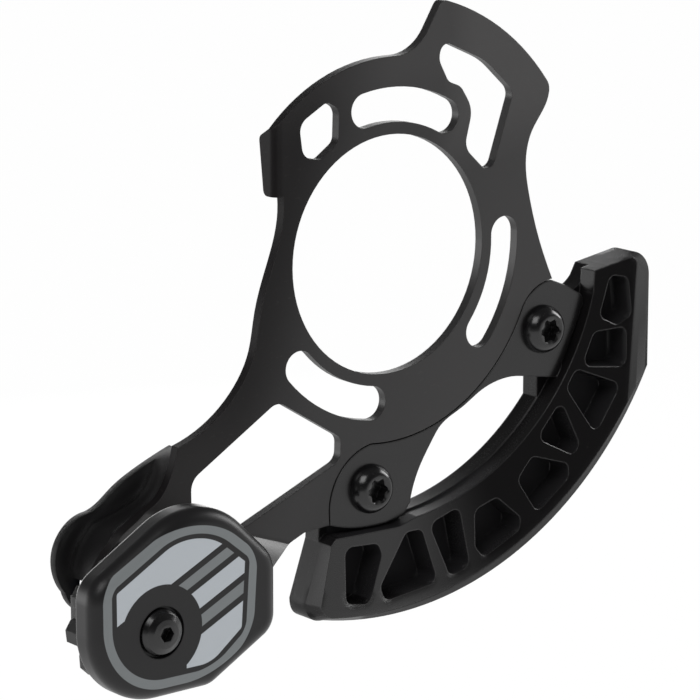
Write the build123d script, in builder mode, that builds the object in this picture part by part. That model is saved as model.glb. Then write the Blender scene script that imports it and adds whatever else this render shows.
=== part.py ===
from build123d import *
import os
from math import atan2, cos, degrees, radians, sin, tan

# Bicycle chain guide. Millimetres, +X towards the front of the bicycle, +Z up, drive side faces -Y.
# Heights in this file are measured from the mounting face towards the drive side.

# Mounting face: centre hole and three equal arc slots on the 56 mm bolt circle
hole_diameter = 45.0
bolt_circle = 56.0
slot_width = 6.5
slot_centres = (81.7, -18.3, -118.3)
slot_swing = 40.0

# Backplate sheet
sheet = 2.0
horn_radius = 48.1
crown_radius = 36.9
tab_face = -26.3
tab_low = 13.5
tab_depth = 1.6
tab_deepest = 2.9
tab_shoulder = 24.2
tab_corner = 1.2
tab_bend = 1.7
edge_under_tab = -24.5
joint_radius = 35.6
joint_gap = 0.25
ear_thickness = 2.0
ear_radius = 5.0
ear_overlap = 1.6
ear_gap = 0.4
ear_spans = ((-21.0, -45.0), (-75.0, -98.0))
horn_top = 40.0
horn_span = (36.0, 75.0)
horn_corner = 1.6
horn_end_corner = 3.0

# Windows of the backplate: corner points with their corner radii
plate_windows = (
    ((-26.0, -24.1, 3.0), (-11.4, -33.1, 2.0), (-11.5, -37.5, 2.5), (-41.0, -49.6, 3.0), (-45.5, -43.5, 3.0),
     (-45.6, -35.9, 3.5)),
    ((12.6, 38.8, 1.8), (23.0, 34.2, 14.0), (30.0, 27.8, 2.4), (25.0, 13.4, 2.0), (22.6, 13.9, 2.0),
     (18.0, 18.2, 3.2), (19.9, 25.4, 5.0), (17.0, 29.9, 3.0), (14.0, 31.0, 2.4), (11.6, 35.4, 3.0)),
    ((-14.6, 29.9, 1.8), (-20.9, 26.4, 2.8), (-20.0, 20.2, 2.4), (-16.0, 19.4, 1.4), (-11.9, 22.2, 2.0),
     (-11.7, 28.4, 2.2)),
)

# Forward bend that carries the lower lobe out to the chain
bend_point = (-24.7, -51.6)
bend_direction = 160.5
bend_rise = 4.5
bend_run = 6.0
bend_radius = 1.5

# Skid moulding
skid_back = -4.0
skid_front = 4.0
bevel_start = 1.0
skid_centre = (1.8, 2.9)
skid_radius = 72.8
bevel_width = 3.7
side_angle = 27.3
rim_inner = 50.9
pocket_depth = 5.2
pocket_draft = 2.5
pocket_corner = 0.078 * (skid_radius - rim_inner)
parting_step = 0.3
skid_top = (51.4, -8.6)
skid_front_top = (49.4, -8.9)
skid_arc_middle = 34.0
skid_heel = (-15.2, -52.9)
skid_heel_top = (-14.0, -51.7)
skid_notch = (0.8, -51.9)
rim_low_angle = -84.0
rim_top_angle = -15.0

# Upper shoulder and lower end of the skid, for the full outline and for the bevelled front
# Shoulder: three points as (run from the outer side, height)
# End: x on the arc, x and rise of the end face, and how far the arc runs out by there
skid_shoulder = ((-5.3, -7.0), (-1.5, -8.5), (0.0, -12.2))
bevel_shoulder = ((-7.7, -7.4), (-6.5, -7.8), (-6.1, -9.0))
bevel_side = -7.9
skid_foot = (-15.0, -19.0, 4.0, 0.0)
bevel_foot = (-14.6, -17.7, 2.6, 2.7)
foot_bulge = 1.0

# Pocket corners: angle about the skid's centre, and place across the rim from 0 inside to 1 outside
skid_pockets = (
    ((-14.2, 0.11), (-14.1, 0.33), (-20.8, 0.48), (-23.5, 0.35), (-23.3, 0.11)),
    ((-26.7, 0.11), (-23.1, 0.46), (-29.6, 0.63), (-34.2, 0.14)),
    ((-35.4, 0.09), (-32.7, 0.66), (-42.5, 0.68), (-40.0, 0.10)),
    ((-42.7, 0.12), (-47.0, 0.77), (-52.3, 0.16)),
    ((-55.3, 0.25), (-49.9, 0.62), (-51.6, 0.72), (-59.9, 0.73), (-60.7, 0.32)),
    ((-72.1, 0.30), (-66.4, 0.32), (-63.2, 0.65), (-64.5, 0.74), (-72.8, 0.76), (-73.9, 0.62)),
    ((-83.4, 0.23), (-75.5, 0.19), (-75.8, 0.76), (-80.1, 0.77)),
    ((-89.2, 0.24), (-85.3, 0.25), (-82.7, 0.77), (-93.5, 0.82), (-94.7, 0.69)),
    ((-103.7, 0.34), (-96.0, 0.30), (-94.8, 0.40), (-96.6, 0.83), (-101.3, 0.83)),
)

# Joint between the sheet and the skid flanges: points as (distance beyond the joint circle, angle)
joint_top = (5.73, -13.4)
joint_top_mid = (1.15, -18.2)
joint_top_angle = -24.0
joint_low_angle = -97.0
joint_low_mid = (4.85, -105.9)
joint_low_end = (13.05, -107.1)
joint_foot = (15.9, -106.0)

# Flange edges beyond the joint, same form: upper outer corners, window edge, lower outer edge
flange_corners = ((9.1, -14.4, 3.0), (15.3, -16.2, 1.8), (15.5, -35.0, 1.0))
flange_window = (
    (6.95, -40.6), (3.2, -45.5), (1.15, -52.4), (0.75, -60.5), (1.1, -70.2), (2.85, -74.2), (6.15, -79.2),
    (12.8, -83.9),
)
flange_low = (15.0, -85.9)
flange_low_mid = (16.0, -95.6)

# Skid bolts, M5 button heads with six-lobe sockets, and the nuts behind the ears
# Each bolt: distance beyond the joint circle, angle
skid_bolt_seats = ((6.8, -26.9), (8.63, -95.8))
m5 = 5.0
m5_clear = 5.4
button_diameter = 9.4
button_height = 2.7
socket_size = 3.9
socket_depth = 1.6
nut_flats = 8.0
nut_height = 4.0
bolt_tail = 0.8
thread_gap = 0.05

# Roller, ball bearing and the bolt they turn on
axle = (-65.2, -56.1)
roller_width = 6.0
roller_tip = 11.7
roller_root = 9.8
roller_teeth = 9
roller_phase = 27.0
tooth_root_width = 5.0
tooth_tip_width = 2.2
tooth_taper = 1.0
tooth_sink = 1.5
taper_start = 0.6
side_gap = 0.65
race_outer = 6.5
race_width = 4.0
race_bore_gap = 0.05
race_seat_gap = 0.02
ball_diameter = 2.0
ball_pitch = 4.5
ball_count = 8
groove_gap = 0.03
shield_thickness = 0.35
spacer_radius = 3.6
roller_lip = 0.6
race_wall = 5.3
race_hub = 3.7
cage_half = 0.3
cage_reach = 1.3

# Outer guide
outer_thickness = 6.5
outer_round = 3.0
head_recess = 1.2
recess_radius = 4.7
roller_head_radius = 4.2
roller_head_height = 2.8
hex_socket = 2.5
post_radius = 3.0
post_place = (-46.5, -56.5)
peg_radius = 1.6
peg_gap = 0.15
outer_back_round = 1.0
guide_corners = (
    (-55.0, -31.7, 15.0), (-39.5, -47.0, 6.0), (-39.5, -60.2, 5.0), (-53.9, -68.4, 5.0), (-79.2, -68.7, 13.5),
    (-79.2, -46.2, 6.0),
)

# Inner guide
scoop_floor = -4.0
scoop_wall = 1.6
boss_radius = 5.6
foot_radius = 6.5
boss_back = 2.9
lock_nut_height = 5.0
insert_height = 1.3
insert_lip = 0.3
insert_radius = 3.3
hollow_depth = 3.8
hollow_corner = 1.0
hollow_corners = (
    (-50.2, -40.6), (-55.4, -42.2), (-61.4, -44.0), (-64.8, -47.8), (-66.0, -52.8), (-64.4, -55.8),
    (-60.6, -56.6), (-56.6, -53.2), (-52.8, -48.0),
)



def level(height):
    """Sketch plane parallel to the mounting face, x and y of the sketch are X and Z of the part."""
    return Plane.XZ.offset(height)


def polar(radius, angle, centre=(0, 0)):
    """Point at a radius and angle from a centre, in the plane of the mounting face."""
    return (centre[0] + radius * cos(radians(angle)), centre[1] + radius * sin(radians(angle)))


def on_circle(centre, radius, x):
    """Lower point of a circle at a given x."""
    return (x, centre[1] - (radius ** 2 - (x - centre[0]) ** 2) ** 0.5)


def beyond(seat):
    """Point at a distance beyond the joint circle and an angle."""
    return polar(joint_radius + seat[0], seat[1])


skid_bolt_places = [beyond(seat) for seat in skid_bolt_seats]

# Bend frame: s runs across the bend line towards the lower lobe, height towards the drive side
across = bend_direction + 90.0
bend_plane = Plane(
    origin=(bend_point[0], 0, bend_point[1]),
    x_dir=(cos(radians(across)), 0, sin(radians(across))),
    z_dir=(sin(radians(across)), 0, -cos(radians(across))),
)
bend_shift = sheet * tan(atan2(bend_rise, bend_run) / 2)
lobe_back = bend_rise
lobe_front = bend_rise + sheet
far = 120.0

# Plate edge beside the scoop, shared by the backplate and the inner guide
edge_corner = (-48.3, -29.3)
edge_mid = (-49.9, -34.2)
edge_turn = (-52.6, -38.3)
edge_low = (-56.4, -40.3)
edge_end = (-63.0, -42.2)

def joint_edges(gap):
    """Edge shared by the sheet and the flanges, moved by a gap towards the flanges."""
    upper = beyond((gap, joint_top_angle))
    lower = beyond((gap, joint_low_angle))
    aside = degrees(gap / joint_radius)
    top = beyond((joint_top[0] + gap / 2, joint_top[1] - aside))
    top_mid = beyond((joint_top_mid[0] + gap, joint_top_mid[1] - aside / 2))
    low_mid = beyond((joint_low_mid[0] + gap / 2, joint_low_mid[1] + aside))
    low_end = beyond((joint_low_end[0], joint_low_end[1] + aside))
    foot = beyond((joint_foot[0], joint_foot[1] + aside))
    return upper, lower, top, top_mid, low_mid, low_end, foot


def arc_slot(middle):
    """Slot along the bolt circle about its middle angle."""
    with BuildLine() as path:
        CenterArc((0, 0), bolt_circle / 2, middle - slot_swing / 2, slot_swing)
    with BuildSketch() as slot:
        SlotArc(path.edges()[0], slot_width)
    return slot.sketch


os.makedirs("parts", exist_ok=True)

with BuildPart() as backplate:
    # Bent sheet: flat, ramp, flat lobe
    with BuildSketch(bend_plane) as bend_profile:
        with BuildLine():
            Polyline(
                (-far, 0), (0, 0), (bend_run, lobe_back), (far, lobe_back), (far, lobe_front),
                (bend_run - bend_shift, lobe_front), (-bend_shift, sheet), (-far, sheet), close=True,
            )
        make_face()
        fillet(bend_profile.vertices().filter_by(lambda v: abs(v.X) < far / 2), bend_radius)
    extrude(amount=far, both=True)
    # Outline with its openings
    with BuildSketch(level(-10)):
        with BuildLine():
            upper, lower, top, top_mid, low_mid, low_end, foot = joint_edges(0)
            crown_start = polar(crown_radius, 88)
            crown_end = (tab_face, (crown_radius ** 2 - tab_face ** 2) ** 0.5)
            CenterArc((0, 0), horn_radius, horn_span[0], horn_span[1] - horn_span[0])
            Line(polar(horn_radius, horn_span[1]), (9.2, 41.2))
            ThreePointArc((9.2, 41.2), (6.2, 38.2), crown_start)
            ThreePointArc(crown_start, polar(crown_radius, 110), crown_end)
            Polyline(crown_end, (tab_face, tab_low), (edge_under_tab, tab_low))
            Spline(
                (edge_under_tab, tab_low), (-25.3, 5.8), (-28.5, -3.0), (-29.9, -8.1), (-31.2, -14.5),
                (-35.8, -21.9), (-41.1, -26.2), edge_corner,
            )
            Spline(edge_corner, edge_mid, edge_turn, edge_low, edge_end)
            Spline(edge_end, (-68.4, -46.2), (-70.8, -52.5), (-70.0, -59.5), (-64.5, -63.6))
            Polyline((-64.5, -63.6), (-48.0, -62.6), (-30.2, -54.1), (-20.0, -49.9), foot, low_end)
            ThreePointArc(low_end, low_mid, lower)
            ThreePointArc(lower, beyond((0, -60)), upper)
            ThreePointArc(upper, top_mid, top)
            Spline(
                top, (36.6, -1.0), (34.0, 8.0), (33.2, 13.6), (34.7, 19.8), (38.2, 24.8),
                polar(horn_radius, horn_span[0]),
            )
            horn_end = (polar(horn_radius, horn_span[0])[0], -sheet / 2, polar(horn_radius, horn_span[0])[1])
        make_face()
        Circle(hole_diameter / 2, mode=Mode.SUBTRACT)
        for centre in slot_centres:
            add(arc_slot(centre), mode=Mode.SUBTRACT)
        for corners in plate_windows:
            with BuildLine():
                FilletPolyline(
                    *[(x, z) for x, z, corner in corners],
                    radius=[corner for x, z, corner in corners],
                    close=True,
                )
            make_face(mode=Mode.SUBTRACT)
    extrude(amount=40, mode=Mode.INTERSECT)
    # Soft corners of the horn
    upright = backplate.edges().filter_by(Axis.Y)
    fillet(upright.filter_by(lambda e: e.center().Z > horn_top), horn_corner)
    upright = backplate.edges().filter_by(Axis.Y)
    fillet(upright.sort_by_distance(horn_end)[0:1], horn_end_corner)
    # Tab bent back at the upper left
    with BuildSketch(Plane.YZ.offset(tab_face)) as tab:
        Polygon(
            (-sheet, tab_low), (tab_depth, tab_low), (tab_deepest, tab_shoulder), (0, crown_end[1]),
            (-sheet, crown_end[1]),
            align=None,
        )
        fillet(tab.vertices().filter_by(lambda v: v.X > 0), tab_corner)
    extrude(amount=sheet)
    fillet(
        backplate.edges().filter_by(Axis.Z).filter_by(
            lambda e: abs(e.center().X - tab_face) < 0.01 and abs(e.center().Y + sheet) < 0.01
        ),
        tab_bend,
    )
    # Ears set back behind the skid flanges
    for place, (start, end) in zip(skid_bolt_places, ear_spans):
        toward = degrees(atan2(place[1], place[0]))
        root_start = beyond((-ear_overlap, start))
        root_middle = beyond((-ear_overlap, (start + end) / 2))
        root_end = beyond((-ear_overlap, end))
        with BuildSketch(level(-ear_thickness)):
            with BuildLine():
                Polyline(
                    root_start, beyond((0, start)), polar(ear_radius, toward + 90, place),
                    polar(ear_radius, toward - 90, place), beyond((0, end)), root_end,
                )
                ThreePointArc(root_end, root_middle, root_start)
            make_face()
            with Locations(place):
                Circle(ear_radius)
        extrude(amount=ear_thickness)
        with BuildSketch(level(-ear_thickness)):
            with BuildLine():
                Line(root_start, beyond((0, start)))
                ThreePointArc(beyond((0, start)), beyond((0, (start + end) / 2)), beyond((0, end)))
                Line(beyond((0, end)), root_end)
                ThreePointArc(root_end, root_middle, root_start)
            make_face()
        extrude(amount=ear_thickness + sheet / 2)
        with BuildSketch(level(-ear_thickness)):
            with Locations(place):
                Circle(m5_clear / 2)
        extrude(amount=ear_thickness, mode=Mode.SUBTRACT)
    # Roller bolt and guide peg holes in the lobe
    with BuildSketch(level(0)):
        with Locations(axle):
            Circle(m5 / 2 + race_bore_gap)
        with Locations(post_place):
            Circle(peg_radius + peg_gap)
    extrude(amount=lobe_front, mode=Mode.SUBTRACT)
backplate.part.label = "backplate"
export_step(backplate.part, "parts/backplate.step")


def skid_outline(top, inner, radius, shoulder, side, end):
    """Skid outline: top, outer side, outer arc, rounded end and inner rim."""
    outer_side = skid_centre[0] + skid_radius * cos(radians(side_angle))
    corner = [(outer_side + run, height) for run, height in shoulder]
    arc_start = on_circle(skid_centre, radius, outer_side + side)
    arc_middle = on_circle(skid_centre, radius, skid_arc_middle)
    arc_end = on_circle(skid_centre, radius + end[3], end[0])
    foot = (end[1], arc_end[1] + end[2])
    turn = (foot[0] + foot_bulge, arc_end[1] + foot_bulge)
    rim_low = polar(inner, rim_low_angle)
    rim_top = polar(inner, rim_top_angle)
    with BuildSketch() as outline:
        with BuildLine():
            Polyline(rim_top, top, corner[0])
            ThreePointArc(*corner)
            Line(corner[2], arc_start)
            ThreePointArc(arc_start, arc_middle, arc_end)
            Spline(arc_end, turn, foot)
            Polyline(foot, skid_heel, skid_heel_top, skid_notch, rim_low)
            ThreePointArc(rim_low, polar(inner, (rim_low_angle + rim_top_angle) / 2), rim_top)
        make_face()
    return outline.sketch


def across_rim(angle, place):
    """Point of the skid at an angle about its centre and a place across the rim."""
    return polar(rim_inner + place * (skid_radius - rim_inner), angle, skid_centre)


with BuildPart() as skid:
    # Rim: base, parting line, front with its bevelled outer edge
    base = skid_outline(skid_top, rim_inner - parting_step, skid_radius, skid_shoulder, 0, skid_foot)
    full = skid_outline(skid_front_top, rim_inner, skid_radius, skid_shoulder, 0, skid_foot)
    front = skid_outline(
        skid_front_top, rim_inner, skid_radius - bevel_width, bevel_shoulder, bevel_side, bevel_foot,
    )
    with BuildSketch(level(skid_back)):
        add(base)
    extrude(amount=-skid_back)
    with BuildSketch(level(0)):
        add(full)
    extrude(amount=bevel_start)
    with BuildSketch(level(bevel_start)):
        add(full)
    with BuildSketch(level(skid_front)):
        add(front)
    loft(ruled=True)
    # Truss pockets
    with BuildSketch(level(skid_front)):
        for corners in skid_pockets:
            with BuildLine():
                FilletPolyline(
                    *[across_rim(*corner) for corner in corners], radius=pocket_corner, close=True,
                )
            make_face()
    extrude(amount=-pocket_depth, taper=pocket_draft, mode=Mode.SUBTRACT)
    # Web that carries the upper flange, with its hooked top
    with BuildSketch(level(skid_back)):
        with BuildLine():
            Polyline((40.5, -34.5), (38.3, -33.2), (38.3, -25.6), (42.0, -24.6), (44.2, -20.0), (44.2, -13.4))
            ThreePointArc((44.2, -13.4), (48.4, -12.4), skid_top)
            Polyline(skid_top, (52.5, -9.5), (51.5, -18.0), (47.0, -27.0), (40.5, -34.5))
        make_face()
        with BuildLine():
            Polyline((-14.9, -48.0), (3.2, -48.0), (4.4, -52.6), skid_heel, (-14.9, -48.0))
        make_face()
        with Locations(*skid_bolt_places):
            Circle(ear_radius + ear_gap, mode=Mode.SUBTRACT)
    extrude(amount=-skid_back)
    # Flanges flush with the sheet
    upper, lower, top, top_mid, low_mid, low_end, foot = joint_edges(joint_gap)
    with BuildSketch(level(0)):
        with BuildLine():
            ThreePointArc(lower, beyond((joint_gap, -60)), upper)
            ThreePointArc(upper, top_mid, top)
            FilletPolyline(
                top, *[beyond(corner) for corner in flange_corners], beyond(flange_window[0]),
                radius=[corner[2] for corner in flange_corners],
            )
            Spline(*[beyond(seat) for seat in flange_window])
            Line(beyond(flange_window[-1]), beyond(flange_low))
            ThreePointArc(beyond(flange_low), beyond(flange_low_mid), foot)
            Line(foot, low_end)
            ThreePointArc(low_end, low_mid, lower)
        make_face()
        with Locations(*skid_bolt_places):
            Circle(m5_clear / 2, mode=Mode.SUBTRACT)
    extrude(amount=sheet)
skid.part.label = "skid"
export_step(skid.part, "parts/skid.step")


def axial(place):
    """Sketch plane through an axis that runs along Y: x is the radius, y the height."""
    return Plane(origin=(place[0], 0, place[1]), x_dir=(1, 0, 0), z_dir=(0, 0, -1))


def ring(inner, outer, base, top):
    """Profile of a plain ring in an axial sketch."""
    return ((inner, base), (outer, base), (outer, top), (inner, top))


def lobed_socket():
    """Outline of a six-lobe drive socket."""
    with BuildSketch() as socket:
        Circle(socket_size * 0.38)
        with PolarLocations(socket_size * 0.38, 6):
            Circle(socket_size * 0.13)
    return socket.sketch


axle_line = Axis((axle[0], 0, axle[1]), (0, 1, 0))
nut_back = -ear_thickness - nut_height

with BuildPart() as skid_bolts:
    for place in skid_bolt_places:
        rim = button_diameter / 2
        with BuildSketch(axial(place)):
            Polygon(
                (0, nut_back - bolt_tail), (m5 / 2, nut_back - bolt_tail), (m5 / 2, sheet), (rim, sheet),
                (rim, sheet + 0.5), (rim * 0.93, sheet + 1.2), (rim * 0.77, sheet + 1.95),
                (rim * 0.6, sheet + 2.45), (rim * 0.5, sheet + button_height), (0, sheet + button_height),
                align=None,
            )
        revolve(axis=Axis((place[0], 0, place[1]), (0, 1, 0)))
        with BuildSketch(level(sheet + button_height)):
            with Locations(place):
                add(lobed_socket())
        extrude(amount=-socket_depth, mode=Mode.SUBTRACT)
skid_bolts.part.label = "skid_bolts"
export_step(skid_bolts.part, "parts/skid_bolts.step")

with BuildPart() as skid_nuts:
    with BuildSketch(level(nut_back)):
        with Locations(*skid_bolt_places):
            RegularPolygon(nut_flats / 2, 6, major_radius=False)
            Circle(m5 / 2 + thread_gap, mode=Mode.SUBTRACT)
    extrude(amount=nut_height)
skid_nuts.part.label = "skid_nuts"
export_step(skid_nuts.part, "parts/skid_nuts.step")

# Heights of the roller stack
roller_back = lobe_front + side_gap
roller_front = roller_back + roller_width
roller_mid = (roller_back + roller_front) / 2
race_back = roller_mid - race_width / 2
race_front = roller_mid + race_width / 2
guide_back = roller_front + side_gap
guide_front = guide_back + outer_thickness
ball_radius = ball_diameter / 2
groove = ball_radius + groove_gap
tooth_height = roller_tip - roller_root
axle_middle = level(roller_mid) * Location((axle[0], axle[1], 0))

with BuildPart() as roller:
    with BuildSketch(level(roller_back)):
        with Locations(axle):
            Circle(roller_root)
            with PolarLocations(roller_root, roller_teeth, start_angle=roller_phase):
                Polygon(
                    (-tooth_sink, -tooth_root_width / 2), (0, -tooth_root_width / 2),
                    (tooth_height, -tooth_tip_width / 2), (tooth_height, tooth_tip_width / 2),
                    (0, tooth_root_width / 2), (-tooth_sink, tooth_root_width / 2),
                    align=None,
                )
            Circle(race_outer - roller_lip, mode=Mode.SUBTRACT)
    extrude(amount=roller_width)
    with BuildSketch(level(race_back)):
        with Locations(axle):
            Circle(race_outer + race_seat_gap)
    extrude(amount=roller_width, mode=Mode.SUBTRACT)
    # Tooth flanks taper towards their tips on both sides
    for near, away in ((roller_back, 1), (roller_front, -1)):
        with BuildSketch(axial(axle)):
            with BuildLine():
                Polyline(
                    (roller_root + taper_start, near - away), (roller_tip + 1, near - away),
                    (roller_tip + 1, near + away * tooth_taper), (roller_root + taper_start, near),
                    close=True,
                )
            make_face()
        revolve(axis=axle_line, mode=Mode.SUBTRACT)
roller.part.label = "roller"
export_step(roller.part, "parts/roller.step")

with BuildPart() as bearing_outer_race:
    with BuildSketch(axial(axle)):
        Polygon(*ring(race_wall, race_outer, race_back, race_front), align=None)
    revolve(axis=axle_line)
    with Locations(axle_middle):
        Torus(ball_pitch, groove, mode=Mode.SUBTRACT)
bearing_outer_race.part.label = "bearing_outer_race"
export_step(bearing_outer_race.part, "parts/bearing_outer_race.step")

bore = m5 / 2 + race_bore_gap
with BuildPart() as bearing_inner_race:
    with BuildSketch(axial(axle)):
        Polygon(*ring(bore, race_hub, race_back, race_front), align=None)
    revolve(axis=axle_line)
    with Locations(axle_middle):
        Torus(ball_pitch, groove, mode=Mode.SUBTRACT)
bearing_inner_race.part.label = "bearing_inner_race"
export_step(bearing_inner_race.part, "parts/bearing_inner_race.step")

with BuildPart() as bearing_balls:
    with Locations(axle_middle):
        with PolarLocations(ball_pitch, ball_count):
            Sphere(ball_radius)
bearing_balls.part.label = "bearing_balls"
export_step(bearing_balls.part, "parts/bearing_balls.step")

with BuildPart() as bearing_cage:
    with BuildSketch(axial(axle)):
        with Locations((ball_pitch, roller_mid)):
            Rectangle(cage_half * 2, cage_reach * 2)
    revolve(axis=axle_line)
    with Locations(axle_middle):
        with PolarLocations(ball_pitch, ball_count):
            Cylinder(ball_radius + groove_gap * 2, cage_half * 6, rotation=(0, 90, 0), mode=Mode.SUBTRACT)
bearing_cage.part.label = "bearing_cage"
export_step(bearing_cage.part, "parts/bearing_cage.step")

shield_outer = race_wall - race_seat_gap
shield_inner = race_hub + 0.1
with BuildPart() as bearing_seal_front:
    base = race_front - shield_thickness - 0.1
    with BuildSketch(axial(axle)):
        Polygon(*ring(shield_inner, shield_outer, base, base + shield_thickness), align=None)
    revolve(axis=axle_line)
bearing_seal_front.part.label = "bearing_seal_front"
export_step(bearing_seal_front.part, "parts/bearing_seal_front.step")

with BuildPart() as bearing_seal_rear:
    base = race_back + 0.1
    with BuildSketch(axial(axle)):
        Polygon(*ring(shield_inner, shield_outer, base, base + shield_thickness), align=None)
    revolve(axis=axle_line)
bearing_seal_rear.part.label = "bearing_seal_rear"
export_step(bearing_seal_rear.part, "parts/bearing_seal_rear.step")

with BuildPart() as rear_spacer:
    with BuildSketch(axial(axle)):
        Polygon(*ring(bore, spacer_radius, lobe_front, race_back), align=None)
    revolve(axis=axle_line)
rear_spacer.part.label = "rear_spacer"
export_step(rear_spacer.part, "parts/rear_spacer.step")

with BuildPart() as front_spacer:
    with BuildSketch(axial(axle)):
        Polygon(*ring(bore, spacer_radius, race_front, guide_back), align=None)
    revolve(axis=axle_line)
front_spacer.part.label = "front_spacer"
export_step(front_spacer.part, "parts/front_spacer.step")

with BuildPart() as outer_guide:
    with BuildSketch(level(guide_back)):
        with BuildLine():
            FilletPolyline(
                *[(x, z) for x, z, corner in guide_corners],
                radius=[corner for x, z, corner in guide_corners],
                close=True,
            )
        make_face()
    extrude(amount=outer_thickness)
    fillet(outer_guide.faces().sort_by(Axis.Y)[0].edges(), outer_round)
    fillet(outer_guide.faces().sort_by(Axis.Y)[-1].edges(), outer_back_round)
    with BuildSketch(level(guide_front)):
        with Locations(axle):
            Circle(recess_radius)
    extrude(amount=-head_recess, mode=Mode.SUBTRACT)
    with BuildSketch(level(guide_front)):
        with Locations(axle):
            Circle(bore)
    extrude(amount=-outer_thickness, mode=Mode.SUBTRACT)
    # Post that stops the guide from turning
    with BuildSketch(level(lobe_front)):
        with Locations(post_place):
            Circle(post_radius)
    extrude(amount=guide_back - lobe_front + 1)
    with BuildSketch(level(lobe_back + 0.2)):
        with Locations(post_place):
            Circle(peg_radius)
    extrude(amount=sheet)
outer_guide.part.label = "outer_guide"
export_step(outer_guide.part, "parts/outer_guide.step")

with BuildPart() as inner_guide:
    with BuildSketch(level(scoop_floor - scoop_wall)):
        with BuildLine():
            Spline((-45.0, -30.8), (-53.3, -34.1), (-57.9, -36.6), (-61.5, -39.2), (-63.8, -40.1))
            Spline((-63.8, -40.1), (-68.4, -42.2), (-70.9, -46.6), (-70.4, -51.6), (-69.0, -54.0))
            Spline(
                (-69.0, -54.0), (-66.7, -57.5), (-62.0, -59.3), (-55.5, -54.6), (-51.0, -48.0),
                (-47.0, -41.0),
            )
            Line((-47.0, -41.0), (-45.0, -30.8))
        make_face()
    extrude(amount=lobe_back - scoop_floor + scoop_wall)
    # Room for the bent sheet in front
    with BuildSketch(bend_plane) as bend_room:
        with BuildLine():
            Polyline(
                (-far, 0), (0, 0), (bend_run, lobe_back), (far, lobe_back), (far, far), (-far, far),
                close=True,
            )
        make_face()
        fillet(bend_room.vertices().filter_by(lambda v: abs(v.X) < far / 2), bend_radius)
    extrude(amount=far, both=True, mode=Mode.SUBTRACT)
    # Scoop beside the plate edge
    with BuildSketch(level(scoop_floor)):
        with BuildLine():
            Spline(edge_corner, edge_mid, edge_turn, edge_low, edge_end)
            Spline(edge_end, (-66.6, -46.8), (-67.8, -52.5), (-67.2, -57.0))
            Polyline((-67.2, -57.0), (-85.0, -57.0), (-85.0, -20.0), (-48.6, -20.0), edge_corner)
        make_face()
    extrude(amount=far, mode=Mode.SUBTRACT)
    # Foot clamped behind the lobe by the roller bolt
    with BuildSketch(level(boss_back)):
        with Locations(axle):
            Circle(foot_radius)
    extrude(amount=lobe_back - boss_back)
    # Hollow back with room for the lock nut
    with BuildSketch(level(scoop_floor - scoop_wall)):
        with BuildLine():
            FilletPolyline(*hollow_corners, radius=hollow_corner, close=True)
        make_face()
    extrude(amount=hollow_depth, mode=Mode.SUBTRACT)
    with BuildSketch(level(scoop_floor)):
        with Locations(axle):
            Circle(boss_radius)
    extrude(amount=boss_back - scoop_floor, mode=Mode.SUBTRACT)
    with BuildSketch(level(scoop_floor)):
        with Locations(axle):
            Circle(bore)
    extrude(amount=far, mode=Mode.SUBTRACT)
inner_guide.part.label = "inner_guide"
export_step(inner_guide.part, "parts/inner_guide.step")

head_base = guide_front - head_recess
bolt_end = boss_back - lock_nut_height - bolt_tail
with BuildPart() as roller_bolt:
    rim = roller_head_radius
    with BuildSketch(axial(axle)):
        Polygon(
            (0, bolt_end), (m5 / 2, bolt_end), (m5 / 2, head_base), (rim, head_base), (rim, head_base + 1.2),
            (rim * 0.88, head_base + 2.0), (rim * 0.62, head_base + 2.6),
            (rim * 0.4, head_base + roller_head_height), (0, head_base + roller_head_height), align=None,
        )
    revolve(axis=axle_line)
    with BuildSketch(level(head_base + roller_head_height)):
        with Locations(axle):
            RegularPolygon(hex_socket / 2, 6, major_radius=False)
    extrude(amount=-socket_depth, mode=Mode.SUBTRACT)
roller_bolt.part.label = "roller_bolt"
export_step(roller_bolt.part, "parts/roller_bolt.step")

with BuildPart() as lock_nut:
    with BuildSketch(level(boss_back - lock_nut_height)):
        with Locations(axle):
            RegularPolygon(nut_flats / 2, 6, major_radius=False, rotation=30)
            Circle(m5 / 2 + thread_gap, mode=Mode.SUBTRACT)
    extrude(amount=lock_nut_height)
    with BuildSketch(level(boss_back - lock_nut_height)):
        with Locations(axle):
            Circle(insert_radius + race_seat_gap)
    extrude(amount=insert_height + insert_lip, mode=Mode.SUBTRACT)
lock_nut.part.label = "lock_nut"
export_step(lock_nut.part, "parts/lock_nut.step")

with BuildPart() as lock_nut_insert:
    insert_base = boss_back - lock_nut_height + insert_lip
    thread_hole = m5 / 2 + thread_gap
    with BuildSketch(axial(axle)):
        Polygon(*ring(thread_hole, insert_radius, insert_base, insert_base + insert_height), align=None)
    revolve(axis=axle_line)
lock_nut_insert.part.label = "lock_nut_insert"
export_step(lock_nut_insert.part, "parts/lock_nut_insert.step")
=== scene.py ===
"""Looks of a bicycle chain guide: finishes, studio, camera. Metres, +X front, +Z up, drive side faces -Y."""
import logging
import math
from dataclasses import dataclass, field
from enum import Enum
from typing import Any, Optional, Protocol

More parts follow.
